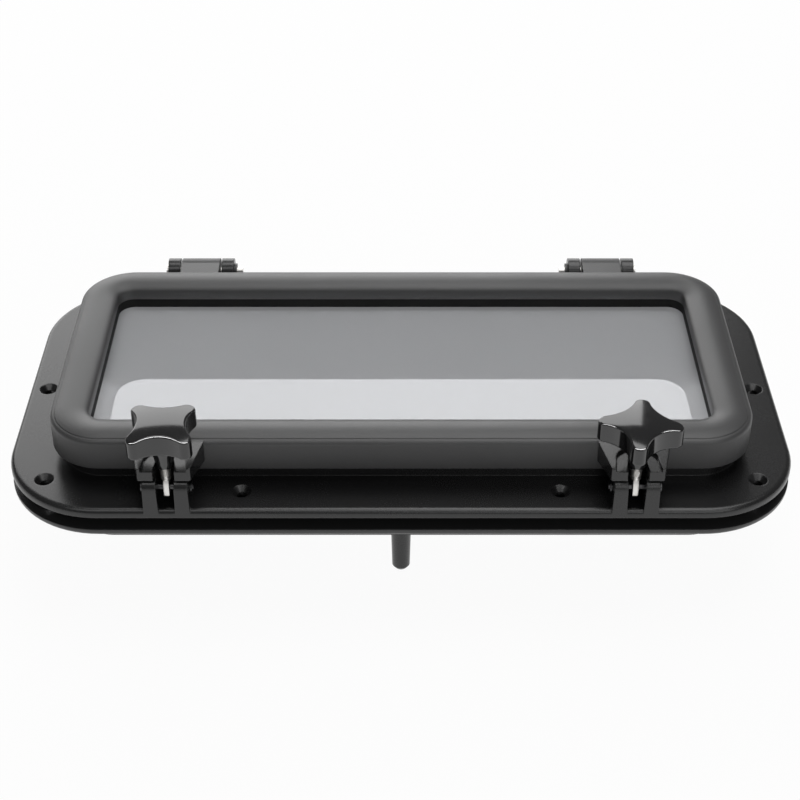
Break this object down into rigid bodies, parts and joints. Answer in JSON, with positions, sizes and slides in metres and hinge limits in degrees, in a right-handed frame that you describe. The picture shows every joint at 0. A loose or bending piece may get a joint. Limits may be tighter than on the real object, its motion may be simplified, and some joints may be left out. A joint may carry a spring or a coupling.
{
  "type": "deck hatch",
  "caption": "Rectangular opening boat hatch: flanged frame with through-hull spigot and trim ring, tinted hinged lid, and swing bolts with lobed knobs.",
  "frame": {"origin": "centre of the opening, on the flange's hull face", "axes": "+X along the width, +Y from the latches to the hinges, +Z out of the hull through the lid"},
  "size_m": [0.444, 0.2406, 0.1299],
  "materials": {
    "black_plastic": "satin moulded",
    "knob_plastic": "gloss moulded",
    "tinted_glass": "clear, lightly tinted",
    "seal_rubber": "matte",
    "stainless": "satin",
    "clip_plastic": "satin",
    "brass": "turned"
  },
  "bodies": {
    "frame": {"base_frame": "black_plastic", "drain_spout": "black_plastic", "hinge_pin_left": "stainless", "hinge_pin_right": "stainless", "hinge_clip_left": "clip_plastic", "hinge_clip_right": "clip_plastic", "trunnion_pin_left": "stainless", "trunnion_pin_right": "stainless", "trunnion_clip_left": "stainless", "trunnion_clip_right": "stainless"},
    "trim": {"trim_ring": "black_plastic"},
    "lid": {"lid_frame": "black_plastic", "glass_pane": "tinted_glass", "glazing_seal": "seal_rubber", "lid_gasket": "seal_rubber"},
    "bolt_left": {"swing_bolt_left": "stainless"},
    "insert_left": {"knob_insert_left": "brass"},
    "knob_left": {"knob_left": "knob_plastic"},
    "bolt_right": {"swing_bolt_right": "stainless"},
    "insert_right": {"knob_insert_right": "brass"},
    "knob_right": {"knob_right": "knob_plastic"}
  },
  "joints": [
    {"name": "lid_hinge", "type": "hinge", "parent": "frame", "child": "lid", "pos_m": [0, 0.1025, 0.0249], "axis": [-1, 0, 0], "range_deg": [0, 105]},
    {"name": "trim_slide", "type": "slide", "parent": "frame", "child": "trim", "axis": [0, 0, 1], "range_m": [-0.02, 0.008]},
    {"name": "bolt_swing_left", "type": "hinge", "parent": "frame", "child": "bolt_left", "pos_m": [-0.1275, -0.104, 0.0144], "axis": [1, 0, 0], "range_deg": [0, 75]},
    {"name": "insert_travel_left", "type": "slide", "parent": "bolt_left", "child": "insert_left", "axis": [0, 0, 1], "range_m": [0, 0.00801]},
    {"name": "knob_spin_left", "type": "hinge", "parent": "insert_left", "child": "knob_left", "pos_m": [-0.1275, -0.104, 0.045], "axis": [0, 0, 1], "range_deg": [0, 2880]},
    {"name": "bolt_swing_right", "type": "hinge", "parent": "frame", "child": "bolt_right", "pos_m": [0.1275, -0.104, 0.0144], "axis": [1, 0, 0], "range_deg": [0, 75]},
    {"name": "insert_travel_right", "type": "slide", "parent": "bolt_right", "child": "insert_right", "axis": [0, 0, 1], "range_m": [0, 0.00801]},
    {"name": "knob_spin_right", "type": "hinge", "parent": "insert_right", "child": "knob_right", "pos_m": [0.1275, -0.104, 0.045], "axis": [0, 0, 1], "range_deg": [0, 2880]}
  ],
  "couplings": [
    {"joint": "insert_travel_left", "follows": "knob_spin_left", "m_per_rad": 0.00015915},
    {"joint": "insert_travel_right", "follows": "knob_spin_right", "m_per_rad": 0.00015915}
  ]
}
